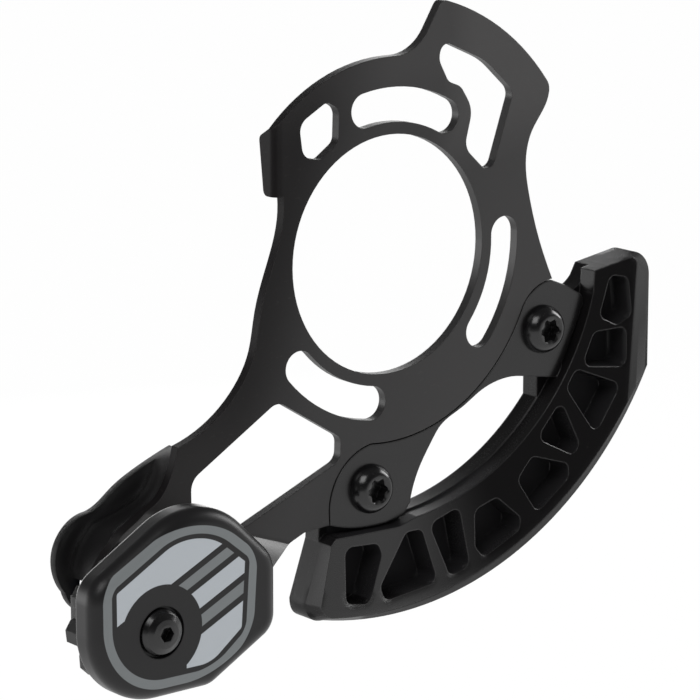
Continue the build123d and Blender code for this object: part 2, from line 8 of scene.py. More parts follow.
import bmesh
import bpy
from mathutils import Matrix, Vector


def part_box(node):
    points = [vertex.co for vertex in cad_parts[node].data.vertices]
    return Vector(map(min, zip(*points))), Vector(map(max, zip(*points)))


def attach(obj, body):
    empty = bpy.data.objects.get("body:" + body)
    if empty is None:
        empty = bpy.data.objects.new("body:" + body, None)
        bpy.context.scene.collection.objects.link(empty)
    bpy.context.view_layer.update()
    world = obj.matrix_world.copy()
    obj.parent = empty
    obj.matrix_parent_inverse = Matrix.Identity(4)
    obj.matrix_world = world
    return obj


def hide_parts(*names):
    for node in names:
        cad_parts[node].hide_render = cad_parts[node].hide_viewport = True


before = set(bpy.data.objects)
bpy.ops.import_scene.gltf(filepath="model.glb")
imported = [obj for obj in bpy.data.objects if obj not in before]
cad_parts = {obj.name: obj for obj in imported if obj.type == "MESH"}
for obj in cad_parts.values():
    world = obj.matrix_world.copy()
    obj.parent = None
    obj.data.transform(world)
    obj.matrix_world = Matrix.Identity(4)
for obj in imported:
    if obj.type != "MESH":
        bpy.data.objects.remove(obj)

log = logging.getLogger("chain_guide")
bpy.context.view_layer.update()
MM_PER_M = 1000.0
REFRACTION = 1.5
WHITE = (1.0, 1.0, 1.0, 1.0)
EVEN = (1.0, 1.0, 1.0)
AXLE = (-65.2, -56.1)
Pair = tuple[float, float]
Triple = tuple[float, float, float]


class Tint(Enum):
    """Base colours, linear, of the finishes on this part; three of them carry painted light."""

    PLATE = (0.0096, 0.0086, 0.0090)
    # Painted light: lighter tone laid on front faces of the sheet and on the step's slope.
    PLATE_LIT = (0.0465, 0.0445, 0.0445)
    SKID = (0.0062, 0.0058, 0.0061)
    # Painted light: lighter tone laid on the walls and floors of the skid's pockets.
    POCKET_PAINTED_LIGHT = (0.0165, 0.0160, 0.0170)
    SCOOP = (0.0100, 0.0096, 0.0100)
    COVER = (0.0105, 0.0100, 0.0106)
    ROLLER = (0.0080, 0.0078, 0.0080)
    OXIDE = (0.0060, 0.0058, 0.0062)
    # Paler tone of worn edges, which also paints a highlight on them, and of the painted light on the scoop's
    # tip.
    RUBBED_AND_HIGHLIGHT = (0.075, 0.072, 0.073)
    STEEL = (0.56, 0.56, 0.57)
    ALUMINIUM = (0.62, 0.62, 0.63)
    NYLON = (0.05, 0.11, 0.34)
    PRINT_LIGHT = (0.52, 0.555, 0.59)
    PRINT_MID = (0.205, 0.22, 0.225)
    DUST = (0.16, 0.15, 0.14)

    def times(self, factor: float) -> Triple:
        """Colour made darker or lighter by a factor."""
        return tuple(part * factor for part in self.value)


@dataclass(frozen=True)
class Noise:
    """A noise: features per millimetre, octaves, weight of the finer ones and scale along each axis."""

    per_mm: float
    detail: float = 3.0
    roughness: float = 0.55
    stretch: Triple = EVEN


class Sock:
    """A shader value that takes part in Python arithmetic; each operation adds a Math node."""

    def __init__(self, graph: "Graph", link: Any) -> None:
        """Wraps an output socket of a node tree."""
        self.graph = graph
        self.link = link

    def _do(self, operation: str, *others: Any) -> "Sock":
        """Adds a Math node that works on this value and others."""
        return self.graph.math(operation, self, *others)

    def __add__(self, other: Any) -> "Sock":
        """Sum."""
        return self._do("ADD", other)

    __radd__ = __add__

    def __sub__(self, other: Any) -> "Sock":
        """Difference."""
        return self._do("SUBTRACT", other)

    def __rsub__(self, other: Any) -> "Sock":
        """Difference with this value taken away."""
        return self.graph.math("SUBTRACT", other, self)

    def __mul__(self, other: Any) -> "Sock":
        """Product."""
        return self._do("MULTIPLY", other)

    __rmul__ = __mul__

    def __truediv__(self, other: Any) -> "Sock":
        """Quotient."""
        return self._do("DIVIDE", other)

    def __rtruediv__(self, other: Any) -> "Sock":
        """Quotient with this value below."""
        return self.graph.math("DIVIDE", other, self)

    def __neg__(self) -> "Sock":
        """Value with its sign turned."""
        return self._do("MULTIPLY", -1.0)

    def __pow__(self, other: Any) -> "Sock":
        """Power."""
        return self._do("POWER", other)

    def __and__(self, other: Any) -> "Sock":
        """Lower of two values: the overlap of two masks."""
        return self._do("MINIMUM", other)

    def __or__(self, other: Any) -> "Sock":
        """Higher of two values: the union of two masks."""
        return self._do("MAXIMUM", other)

    def wave(self) -> "Sock":
        """Sine of the value, brought to between 0 and 1."""
        return self._do("SINE") * 0.5 + 0.5

    def swing(self, size: float) -> "Sock":
        """Noise brought about zero and scaled."""
        return (self - 0.5) * size

    def turn(self, other: "Sock") -> "Sock":
        """Angle of the pair (this, other)."""
        return self._do("ARCTAN2", other)

    def over(self, other: Any) -> "Sock":
        """1 where the value is greater than another, else 0."""
        return self._do("GREATER_THAN", other)

    def above(self, edge: float, blur: float) -> "Sock":
        """Mask that rises from 0 to 1 over a blur about an edge."""
        return self.graph.ramp(self, edge - blur / 2, edge + blur / 2)

    def between(self, low: float, high: float, blur: float) -> "Sock":
        """Mask of the values between two edges."""
        return self.above(low, blur) & (1 - self.above(high, blur))


class Graph:
    """Node tree of one material or of the world, with one method for each kind of step."""

    EDGE_TURN: Pair = (0.02, 0.22)
    BEVEL_SAMPLES: int = 4

    def __init__(self, name: str, world: Optional[bpy.types.World] = None) -> None:
        """Makes an empty tree with an output node.

        Args:
            name: name of the new material.
            world: world to work on instead of a new material.
        """
        self.owner: Any = world or bpy.data.materials.new(name)
        self.owner.use_nodes = True
        self.tree = self.owner.node_tree
        self.tree.nodes.clear()
        self.output = self.node("ShaderNodeOutputWorld" if world else "ShaderNodeOutputMaterial")
        self._place: Optional[tuple[Sock, Sock, Sock]] = None
        self._coords: Any = None

    def node(
        self, kind: str, settings: Optional[dict[str, Any]] = None, inputs: Optional[dict[Any, Any]] = None,
    ) -> Any:
        """Adds a node.

        Args:
            kind: Blender's type name of the node.
            settings: attributes set before the sockets.
            inputs: socket name or index to a value, a socket or a Sock.

        Returns:
            The new node.
        """
        made = self.tree.nodes.new(kind)
        for key, value in (settings or {}).items():
            setattr(made, key, value)
        for key, value in (inputs or {}).items():
            self.feed(made.inputs[key], value)
        return made

    def feed(self, socket: Any, value: Any) -> None:
        """Sets a socket's value or links it.

        Args:
            socket: input of a node.
            value: a value, a socket or a Sock.
        """
        if isinstance(value, Sock):
            self.tree.links.new(value.link, socket)
        elif isinstance(value, bpy.types.NodeSocket):
            self.tree.links.new(value, socket)
        else:
            socket.default_value = value

    def math(self, operation: str, *values: Any) -> Sock:
        """Adds a Math node on values and wraps its result."""
        made = self.node("ShaderNodeMath", {"operation": operation}, dict(enumerate(values)))
        return Sock(self, made.outputs[0])

    def vector(self, operation: str, *values: Any) -> Any:
        """Adds a Vector Math node on values."""
        return self.node("ShaderNodeVectorMath", {"operation": operation}, dict(enumerate(values)))

    def ramp(self, value: Any, low: float, high: float, to_low: float = 0.0, to_high: float = 1.0) -> Sock:
        """Maps a range of values on another, smoothly and with both ends held.

        Args:
            value: what is mapped.
            low: value at the start of the range.
            high: value at its end.
            to_low: result at the start.
            to_high: result at the end.

        Returns:
            The mapped value.
        """
        made = self.node(
            "ShaderNodeMapRange",
            {"interpolation_type": "SMOOTHSTEP", "clamp": True},
            {"Value": value, "From Min": low, "From Max": high, "To Min": to_low, "To Max": to_high},
        )
        return Sock(self, made.outputs["Result"])

    def coords(self) -> Any:
        """Object coordinates, which are the part's own metres.

        Returns:
            The socket, the same one each time.
        """
        if self._coords is None:
            self._coords = self.node("ShaderNodeTexCoord").outputs["Object"]
        return self._coords

    def place(self) -> tuple[Sock, Sock, Sock]:
        """X, Y and Z of the surface point in millimetres.

        Returns:
            The three values, the same ones each time.
        """
        if self._place is None:
            split = self.node("ShaderNodeSeparateXYZ", None, {0: self.coords()})
            self._place = tuple(Sock(self, split.outputs[i]) * MM_PER_M for i in range(3))
        return self._place

    def radius(self, centre: Pair) -> Sock:
        """Distance in millimetres from the axis along Y through a point (X, Z)."""
        x, _, z = self.place()
        return ((x - centre[0]) ** 2 + (z - centre[1]) ** 2) ** 0.5

    def angle(self, centre: Pair) -> Sock:
        """Angle about the axis along Y through a point (X, Z), from +X towards +Z."""
        x, _, z = self.place()
        return (z - centre[1]).turn(x - centre[0])

    def noise(self, make: Noise) -> Sock:
        """Noise about 0.5.

        Args:
            make: its make-up.

        Returns:
            The noise value.
        """
        vector = self.coords()
        if make.stretch != EVEN:
            stretched = {"Vector": vector, "Scale": make.stretch}
            vector = self.node("ShaderNodeMapping", None, stretched).outputs[0]
        inputs = {
            "Vector": vector,
            "Scale": make.per_mm * MM_PER_M,
            "Detail": make.detail,
            "Roughness": make.roughness,
        }
        return Sock(self, self.node("ShaderNodeTexNoise", None, inputs).outputs["Fac"])

    def pores(self, per_mm: float) -> Sock:
        """Distance to the nearest cell point, for grain and speckles."""
        made = self.node("ShaderNodeTexVoronoi", None, {"Vector": self.coords(), "Scale": per_mm * MM_PER_M})
        return Sock(self, made.outputs["Distance"])

    def mix(self, mask: Any, first: Any, second: Any) -> Any:
        """Colour that goes from one to another with a mask.

        Args:
            mask: 0 for the first and 1 for the second.
            first: colour or socket.
            second: colour or socket.

        Returns:
            The colour's socket.
        """
        made = self.node("ShaderNodeMix", {"data_type": "RGBA", "clamp_factor": True}, {0: mask})
        for index, colour in ((6, first), (7, second)):
            self.feed(made.inputs[index], (*colour, 1.0) if isinstance(colour, tuple) else colour)
        return made.outputs[2]

    def rounded(self, radius_mm: float) -> Any:
        """Normal with the part's edges broken at a small radius."""
        inputs = {"Radius": radius_mm / MM_PER_M}
        return self.node("ShaderNodeBevel", {"samples": self.BEVEL_SAMPLES}, inputs).outputs[0]

    def edges(self, radius_mm: float) -> Sock:
        """Mask of the strips beside sharp edges.

        Args:
            radius_mm: width of the strips.

        Returns:
            The mask.
        """
        flat = self.node("ShaderNodeNewGeometry").outputs["True Normal"]
        same = self.vector("DOT_PRODUCT", self.rounded(radius_mm), flat).outputs["Value"]
        return self.ramp(1 - Sock(self, same), *self.EDGE_TURN)

    def facing(self, axis: int = 1) -> Sock:
        """How far the surface faces against an axis.

        Args:
            axis: 0, 1 or 2 for X, Y or Z, where Y gives the drive side.

        Returns:
            1 where the surface faces that way squarely, -1 where it faces away.
        """
        normal = self.node("ShaderNodeTexCoord").outputs["Normal"]
        split = self.node("ShaderNodeSeparateXYZ", None, {0: normal})
        return -Sock(self, split.outputs[axis])

    def bump(self, height: Sock, depth_mm: float, normal: Any, strength: float) -> Any:
        """Bumped normal.

        Args:
            height: height from 0 to 1.
            depth_mm: what a height of 1 stands for.
            normal: normal that is bumped.
            strength: share of the bump that shows.

        Returns:
            The normal's socket.
        """
        inputs = {"Height": height, "Distance": depth_mm / MM_PER_M, "Strength": strength, "Normal": normal}
        return self.node("ShaderNodeBump", None, inputs).outputs[0]

    def blend_normals(self, mask: Sock, first: Any, second: Any) -> Any:
        """Normal that goes from one to another with a mask.

        Args:
            mask: 0 for the first and 1 for the second.
            first: normal or socket.
            second: normal or socket.

        Returns:
            The normal's socket.
        """
        settings = {"data_type": "VECTOR", "clamp_factor": True}
        made = self.node("ShaderNodeMix", settings, {0: mask, 4: first, 5: second})
        return self.vector("NORMALIZE", made.outputs[1]).outputs[0]

    def rays(self, *kinds: str) -> list[Sock]:
        """For each named kind of ray a value that is 1 for it, else 0."""
        path = self.node("ShaderNodeLightPath")
        return [Sock(self, path.outputs[kind]) for kind in kinds]

    def shade(self, colour: Any, rough: Sock, normal: Any, **constants: float) -> Any:
        """Adds a Principled shader.

        Args:
            colour: base colour.
            rough: roughness.
            normal: normal.
            constants: other sockets, with underscores for spaces.

        Returns:
            The shader node.
        """
        looks = {"Base Color": colour, "Roughness": rough, "Normal": normal, "IOR": REFRACTION}
        looks.update((key.replace("_", " "), value) for key, value in constants.items())
        return self.node("ShaderNodeBsdfPrincipled", None, looks)

    def blend(self, mask: Any, first: Any, second: Any) -> Any:
        """Shader that goes from first to second with a mask."""
        return self.node("ShaderNodeMixShader", None, {0: mask, 1: first.outputs[0], 2: second.outputs[0]})

    def end(self, shader: Any) -> Any:
        """Links a shader to the output and returns the finished material or world."""
        self.feed(self.output.inputs[0], shader.outputs[0])
        return self.owner


class Finish(Protocol):
    """Anything that makes a material."""

    def material(self) -> bpy.types.Material:
        """Builds the material."""


@dataclass(frozen=True)
class Anodised:
    """Satin black anodised sheet: blasted grain, sheen that drifts over the sheet, broken edges paler from
    wear and a painted highlight, and painted light on some front faces and on the step's slope.
    """

    name: str = "satin_black_anodised"
    roughness: float = 0.42
    dull_specular: float = 0.06
    specular: float = 0.56
    drift: Noise = Noise(0.035, 2.0)
    drift_tones: Pair = (0.86, 1.16)
    drift_rough: float = 0.10
    drift_sheen: float = 0.12
    grain: Noise = Noise(9.0, 2.0, 0.6)
    grain_rough: float = 0.12
    grain_mm: float = 0.006
    grain_strength: float = 0.55
    rub: Noise = Noise(0.6, 5.0, 0.7, (1.0, 1.0, 3.0))
    rub_from: Pair = (0.66, 0.12)
    rub_smoother: float = 0.05
    rub_dust: float = 0.06
    edge_mm: float = 0.28
    edge_wear_and_highlight: float = 0.5
    front_from: Pair = (0.5, 0.2)
    slant: float = 0.3
    dull_reach: Pair = (-29.0, -7.0)
    sheen_range: Pair = (0.19, 0.90)
    # Where light is painted on front faces, and how strongly.
    lit_reach: Pair = (-5.0, 34.0)
    lit_share: float = 0.24
    crown_reach: Pair = (22.0, 38.0)
    crown_share: float = 0.42
    horn_reach: Pair = (8.0, 30.0)
    horn_side: Pair = (8.0, 22.0)
    horn_share: float = 0.9
    arm_reach: Pair = (-18.0, -38.0)
    arm_side: Pair = (-22.0, -36.0)
    arm_share: float = 0.45
    rear_from: Pair = (0.6, 0.3)
    rear_edge: Pair = (-23.5, 1.0)
    # The step's slope: a painted highlight in the colour, with more sheen, less roughness and a bent normal.
    step_front: Pair = (-2.15, 0.1)
    step_side: Pair = (-52.0, 2.0)
    step_reach: Pair = (-4.9, -2.5)
    step_smoother: float = 0.14
    bend_normal: Triple = (0.29, -0.816, 0.50)

    def along(self, g: Graph) -> Sock:
        """Place along the slanted line on which the sheen changes."""
        x, _, z = g.place()
        return x - z * self.slant

    def step(self, g: Graph) -> Sock:
        """Slope of the arm's forward step, which carries a painted highlight.

        Args:
            g: tree that takes the nodes.

        Returns:
            Mask that is highest by the step's upper bend.
        """
        x, y, _ = g.place()
        slope = (1 - y.above(*self.step_front)) & g.facing().above(*self.front_from)
        return slope & x.above(*self.step_side) & g.ramp(y, *self.step_reach)

    def painted_light(self, g: Graph) -> Sock:
        """Front faces with painted light: the side by the skid, the crown, the horn and the arm.

        Args:
            g: tree that takes the nodes.

        Returns:
            Mask of these faces.
        """
        x, _, z = g.place()
        side = g.ramp(self.along(g), *self.lit_reach) * self.lit_share
        crown = g.ramp(z, *self.crown_reach) * self.crown_share
        horn = (g.ramp(z, *self.horn_reach) & g.ramp(x, *self.horn_side)) * self.horn_share
        arm = (g.ramp(z, *self.arm_reach) & g.ramp(x, *self.arm_side)) * self.arm_share
        return (side | crown | horn | arm) & g.facing().above(*self.front_from)

    def sheen(self, g: Graph, drift: Sock) -> Sock:
        """How much of the bright sheen shows.

        Args:
            g: tree that takes the nodes.
            drift: slow noise.

        Returns:
            Share of the sheen, none on the rearmost walls.
        """
        x, _, _ = g.place()
        rear = g.facing(0).above(*self.rear_from) & (1 - x.above(*self.rear_edge))
        even = g.ramp(self.along(g), *self.dull_reach, *self.sheen_range)
        return (even + drift.swing(self.drift_sheen)) * (1 - rear)

    def material(self) -> bpy.types.Material:
        """Builds the material.

        Returns:
            The finished material.
        """
        g = Graph(self.name)
        drift = g.noise(self.drift)
        grain = g.noise(self.grain)
        rub = g.noise(self.rub).above(*self.rub_from)
        step = self.step(g)
        dark, pale = (Tint.PLATE.times(factor) for factor in self.drift_tones)
        # Painted light: front faces by the skid, the crown, the horn, the arm and the step's slope are
        # lightened towards the lit tone.
        tone = g.mix(self.painted_light(g) | step, g.mix(drift, dark, pale), Tint.PLATE_LIT.value)
        # Edges paler from wear, which also paints a highlight along them.
        bare = g.mix(g.edges(self.edge_mm) * self.edge_wear_and_highlight, tone, Tint.RUBBED_AND_HIGHLIGHT.value)
        colour = g.mix(rub * self.rub_dust, bare, Tint.DUST.value)
        rough = self.roughness + drift.swing(self.drift_rough) + grain.swing(self.grain_rough)
        smoother = rub * self.rub_smoother + step * self.step_smoother
        bent = g.blend_normals(step, g.rounded(self.edge_mm), self.bend_normal)
        looks = (colour, rough - smoother, g.bump(grain, self.grain_mm, bent, self.grain_strength))
        dull = g.shade(*looks, Specular_IOR_Level=self.dull_specular)
        bright = g.shade(*looks, Specular_IOR_Level=self.specular)
        return g.end(g.blend(self.sheen(g, drift) | step, dull, bright))


@dataclass(frozen=True)
class Moulded:
    """Black moulded plastic: spark-eroded grain, flow marks, and corners paler from rubbing and a painted
    highlight.
    """

    name: str
    tint: Tint
    roughness: float
    specular: float
    grain_per_mm: float = 5.0
    grain_mm: float = 0.012
    edge_mm: float = 0.3
    rubbed: float = 0.08
    edge_wear_and_highlight: float = 0.35
    flow: Noise = Noise(0.05, 3.0, 0.5, (1.0, 2.5, 1.0))
    flow_tones: Pair = (0.85, 1.2)
    flow_rough: float = 0.14
    grain_detail: float = 3.0
    grain_fineness: float = 0.65
    grain_rough: float = 0.10
    grain_share: float = 0.6
    grain_strength: float = 0.5
    pits_per_grain: float = 0.6
    rub: Noise = Noise(0.9, 6.0, 0.75, (1.0, 4.0, 1.0))
    rub_from: Pair = (0.68, 0.10)
    rub_rough: float = 0.08

    def base(self, g: Graph) -> tuple[Any, Sock, Any]:
        """Looks of the bare moulding.

        Args:
            g: tree that takes the nodes.

        Returns:
            Its colour, roughness and normal.
        """
        flow = g.noise(self.flow)
        grain = g.noise(Noise(self.grain_per_mm, self.grain_detail, self.grain_fineness))
        pits = g.pores(self.grain_per_mm * self.pits_per_grain)
        rub = g.noise(self.rub).above(*self.rub_from)
        dark, pale = (self.tint.times(factor) for factor in self.flow_tones)
        # Edges paler from wear, which also paints a highlight along them.
        bare = g.mix(g.edges(self.edge_mm) * self.edge_wear_and_highlight, g.mix(flow, dark, pale), Tint.RUBBED_AND_HIGHLIGHT.value)
        colour = g.mix(rub * self.rubbed, bare, Tint.DUST.value)
        marks = flow.swing(self.flow_rough) + grain.swing(self.grain_rough) + rub * self.rub_rough
        height = grain * self.grain_share + pits * (1 - self.grain_share)
        normal = g.bump(height, self.grain_mm, g.rounded(self.edge_mm), self.grain_strength)
        return colour, self.roughness + marks, normal

    def material(self) -> bpy.types.Material:
        """Builds the material."""
        g = Graph(self.name)
        return g.end(g.shade(*self.base(g), Specular_IOR_Level=self.specular))


@dataclass(frozen=True)
class MouldedSkid(Moulded):
    """Matt black moulding whose flanges, heel, sides and rubbed corners carry a thin gloss, with painted
    light in its pockets.
    """

    centre: Pair = (1.8, 2.9)
    front_from: float = 0.93
    front_blur: float = 0.08
    bevel_from: float = 0.45
    flange_depth: Pair = (1.4, 2.7)
    flange_blur: float = 0.3
    flange_gloss: float = 0.95
    rim_front: Pair = (3.6, 0.2)
    heel_from: Pair = (-1.40, 0.5)
    heel_gloss: float = 0.88
    side_gloss: float = 0.36
    shoulder_reach: Pair = (-26.0, -9.0)
    shoulder_gloss: Pair = (0.02, 0.30)
    gloss_specular: float = 0.5
    gloss_smoother: float = 0.14
    soft_rim: Pair = (66.9, 71.0)
    soft_side: Pair = (57.2, 62.4)
    soft_mm: float = 2.2
    soft_blur: float = 1.8
    # Where the painted light in the pockets goes.
    pocket_front: Pair = (0.5, 0.3)
    pocket_facing: Pair = (0.3, 0.1)
    pocket_reach: Pair = (52.6, 68.2)
    pocket_span: Pair = (-13.2, 61.0)
    pocket_blur: float = 0.4
    facet_to: Pair = (-13.9, 0.4)
    facet_rearward: Pair = (0.6, 0.2)
    facet_facing: Pair = (0.03, 0.62)
    facet_blur: float = 0.04
    end_plane: Triple = (1.0, 0.0, 1.0)

    def outer(self, g: Graph) -> Sock:
        """Soft edge where the front rolls over into the bevel.

        Args:
            g: tree that takes the nodes.

        Returns:
            Mask of a strip round the rim and up the outer side.
        """
        x, _, _ = g.place()
        rim = g.radius(self.centre).between(*self.soft_rim, self.soft_blur)
        return rim | x.between(*self.soft_side, self.soft_blur)

    def pockets(self, g: Graph) -> Sock:
        """Walls and floors of the truss pockets, which take painted light.

        Args:
            g: tree that takes the nodes.

        Returns:
            Their mask.
        """
        x, y, _ = g.place()
        outside = (-y).above(*self.pocket_front) & g.facing().above(*self.pocket_facing)
        ring = g.radius(self.centre).between(*self.pocket_reach, self.pocket_blur)
        return (1 - outside) & ring & x.between(*self.pocket_span, self.pocket_blur)

    def end_facet(self, g: Graph) -> Sock:
        """Narrow facet in front of the lower end face.

        Args:
            g: tree that takes the nodes.

        Returns:
            Its mask.
        """
        x, _, _ = g.place()
        rearward = g.facing(0).above(*self.facet_rearward)
        slanted = g.facing().between(*self.facet_facing, self.facet_blur)
        return (1 - x.above(*self.facet_to)) & slanted & rearward

    def gloss(self, g: Graph) -> Sock:
        """How glossy each kind of face is.

        Args:
            g: tree that takes the nodes.

        Returns:
            Share of the gloss.
        """
        _, y, z = g.place()
        facing = g.facing()
        front = facing.above(self.front_from, self.front_blur)
        bevel = facing.between(self.bevel_from, self.front_from, self.front_blur)
        flange = (-y).between(*self.flange_depth, self.flange_blur)
        heel = (1 - g.angle(self.centre).above(*self.heel_from)) & (-y).above(*self.rim_front)
        faces = front & (flange * self.flange_gloss | heel * self.heel_gloss | g.edges(self.edge_mm))
        shoulder = g.ramp(z, *self.shoulder_reach, *self.shoulder_gloss)
        sides = (1 - front) * self.side_gloss & (1 - bevel * (1 - shoulder))
        return faces | sides

    def material(self) -> bpy.types.Material:
        """Builds the material.

        Returns:
            The finished material.
        """
        g = Graph(self.name)
        colour, rough, sharp = self.base(g)
        soft = g.blend_normals(self.outer(g), sharp, g.rounded(self.soft_mm))
        end = g.vector("MULTIPLY", sharp, self.end_plane).outputs[0]
        normal = g.blend_normals(self.end_facet(g), soft, end)
        # Painted light: pocket walls and floors are lightened.
        toned = g.mix(self.pockets(g), colour, Tint.POCKET_PAINTED_LIGHT.value)
        matt = g.shade(toned, rough, normal, Specular_IOR_Level=self.specular)
        glossy = g.shade(toned, rough - self.gloss_smoother, normal, Specular_IOR_Level=self.gloss_specular)
        return g.end(g.blend(self.gloss(g), matt, glossy))


@dataclass(frozen=True)
class MouldedScoop(Moulded):
    """Black moulding with painted light that pales it towards its upper tip."""

    # Reach and share of the painted light on the upper tip.
    painted_tip_reach: Pair = (-54.0, -45.0)
    pale: float = 0.30

    def material(self) -> bpy.types.Material:
        """Builds the material.

        Returns:
            The finished material.
        """
        g = Graph(self.name)
        colour, rough, normal = self.base(g)
        x, _, _ = g.place()
        # Painted light: the tip is lightened towards the paler tone.
        toned = g.mix(g.ramp(x, *self.painted_tip_reach) * self.pale, colour, Tint.RUBBED_AND_HIGHLIGHT.value)
        return g.end(g.shade(toned, rough, normal, Specular_IOR_Level=self.specular))


@dataclass(frozen=True)
class PrintedCover(Moulded):
    """Moulded cover printed with rising two-tone bands inside a frame line."""

    frame_corners: tuple[Triple, ...] = (
        (-57.3, -34.6, 10.0), (-44.4, -45.2, 2.5), (-45.4, -59.8, 3.0),
        (-53.8, -66.3, 4.0), (-77.3, -66.3, 12.5), (-77.3, -45.9, 3.0),
    )
    middle: Pair = (-60.0, -52.0)
    face_height: Pair = (19.3, 0.2)
    blur: float = 0.09
    frame_width: float = 1.7
    margin: float = 2.7
    bolt_room: float = 8.6
    low_corner: Pair = (-60.0, -56.0)
    slope: float = 26.0
    light_bands: tuple[Pair, ...] = ((5.2, 40.0), (-2.4, 1.0), (-40.0, -6.8))
    mid_bands: tuple[Pair, ...] = ((2.2, 4.0), (-5.6, -3.6))
    wear: Noise = Noise(3.0, 6.0, 0.8)
    wear_from: Pair = (0.74, 0.04)
    ink_rough: float = 0.08
    far: float = 100.0

    def bands(self, value: Sock, edges: tuple[Pair, ...]) -> Sock:
        """Several bands of a value.

        Args:
            value: what is cut into bands.
            edges: both edges of each band.

        Returns:
            Mask of the bands.
        """
        masks = [value.between(low, high, self.blur) for low, high in edges]
        joined = masks[0]
        for mask in masks[1:]:
            joined = joined | mask
        return joined

    def sides(self, g: Graph) -> list[Sock]:
        """Distances from the straight sides of the printed frame.

        Args:
            g: tree that takes the nodes.

        Returns:
            For each side the distance in millimetres towards the middle.
        """
        x, _, z = g.place()
        corners = self.frame_corners
        found: list[Sock] = []
        for (ax, az, _), (bx, bz, _) in zip(corners, corners[1:] + corners[:1]):
            length = math.hypot(bx - ax, bz - az)
            nx, nz = (az - bz) / length, (bx - ax) / length
            if (self.middle[0] - ax) * nx + (self.middle[1] - az) * nz < 0:
                nx, nz = -nx, -nz
            found.append(x * nx + z * nz - (ax * nx + az * nz))
        return found

    def inset(self, g: Graph) -> Sock:
        """Distance from the printed frame's rounded outline.

        Args:
            g: tree that takes the nodes.

        Returns:
            The distance in millimetres towards the middle.
        """
        sides = self.sides(g)
        depth = sides[0]
        for side in sides[1:]:
            depth = depth & side
        for index, (_, _, radius) in enumerate(self.frame_corners):
            before, after = radius - sides[index - 1], radius - sides[index]
            near = before.over(0.0) & after.over(0.0)
            depth = depth & (radius - (before * before + after * after) ** 0.5 + (1 - near) * self.far)
        return depth

    def material(self) -> bpy.types.Material:
        """Builds the material.

        Returns:
            The finished material.
        """
        g = Graph(self.name)
        colour, rough, normal = self.base(g)
        x, y, z = g.place()
        depth = self.inset(g)
        slope = math.radians(self.slope)
        across = (z - self.middle[1]) * math.cos(slope) - (x - self.middle[0]) * math.sin(slope)
        room = depth.above(self.margin, self.blur) & g.radius(AXLE).above(self.bolt_room, self.blur)
        plain = 1 - (x.above(self.low_corner[0], self.blur) | z.above(self.low_corner[1], self.blur))
        face = (-y).above(*self.face_height) & (1 - g.noise(self.wear).above(*self.wear_from))
        light = self.bands(across, self.light_bands) & room & (1 - plain) & face
        stripes = self.bands(across, self.mid_bands) & room & x.above(AXLE[0], self.blur)
        mid = (depth.between(0.0, self.frame_width, self.blur) | stripes) & face
        printed = g.mix(mid, g.mix(light, colour, Tint.PRINT_LIGHT.value), Tint.PRINT_MID.value)
        inked = rough + (light | mid) * self.ink_rough
        return g.end(g.shade(printed, inked, normal, Specular_IOR_Level=self.specular))


@dataclass(frozen=True)
class Oxide:
    """Black oxide steel: thin oil sheen and rubbed corners, with a rolled thread where an axis is given."""

    name: str
    axis: Optional[Pair] = None
    roughness: float = 0.21
    specular: float = 0.55
    oil: Noise = Noise(0.5, 3.0)
    oil_rough: float = 0.12
    fine: Noise = Noise(7.0, 2.0)
    fine_rough: float = 0.06
    fine_mm: float = 0.002
    fine_strength: float = 0.3
    rub: Noise = Noise(2.0, 5.0, 0.7)
    rub_from: Pair = (0.66, 0.14)
    rub_share: float = 0.05
    rub_mm: float = 0.12
    edge_mm: float = 0.22
    head_from: Pair = (18.0, 0.1)
    shank: Pair = (2.52, 0.06)
    pitch_mm: float = 0.8
    thread_mm: float = 0.3
    thread_strength: float = 0.8

    def thread(self, g: Graph, axis: Pair) -> Sock:
        """Thread on the shank behind the head.

        Args:
            g: tree that takes the nodes.
            axis: X and Z of the screw's axis.

        Returns:
            Its height from 0 to 1.
        """
        _, y, _ = g.place()
        ridge = (y * (2 * math.pi / self.pitch_mm) + g.angle(axis)).wave()
        return ridge & (1 - g.radius(axis).above(*self.shank)) & (1 - (-y).above(*self.head_from))

    def material(self) -> bpy.types.Material:
        """Builds the material.

        Returns:
            The finished material.
        """
        g = Graph(self.name)
        fine = g.noise(self.fine)
        rub = g.noise(self.rub).above(*self.rub_from) | g.edges(self.rub_mm)
        colour = g.mix(rub * self.rub_share, Tint.OXIDE.value, Tint.STEEL.value)
        rough = self.roughness + g.noise(self.oil).swing(self.oil_rough) + fine.swing(self.fine_rough)
        normal = g.bump(fine, self.fine_mm, g.rounded(self.edge_mm), self.fine_strength)
        if self.axis:
            normal = g.bump(self.thread(g, self.axis), self.thread_mm, normal, self.thread_strength)
        return g.end(g.shade(colour, rough, normal, Specular_IOR_Level=self.specular))


@dataclass(frozen=True)
class Turned:
    """Ground or turned bright metal with fine tool rings about the roller's axle."""

    name: str
    tint: Tint
    roughness: float
    rings_per_mm: float = 5.0
    ring_rough: float = 0.05
    ring_mm: float = 0.004
    ring_strength: float = 0.6
    stain: Noise = Noise(0.6, 4.0)
    stain_tone: float = 0.8
    stain_rough: float = 0.16
    edge_mm: float = 0.12

    def material(self) -> bpy.types.Material:
        """Builds the material.

        Returns:
            The finished material.
        """
        g = Graph(self.name)
        _, y, _ = g.place()
        rings = ((g.radius(AXLE) + y) * (2 * math.pi * self.rings_per_mm)).wave()
        stain = g.noise(self.stain)
        colour = g.mix(stain, self.tint.times(self.stain_tone), self.tint.value)
        rough = self.roughness + stain.swing(self.stain_rough) + rings * self.ring_rough
        normal = g.bump(rings, self.ring_mm, g.rounded(self.edge_mm), self.ring_strength)
        return g.end(g.shade(colour, rough, normal, Metallic=1.0))


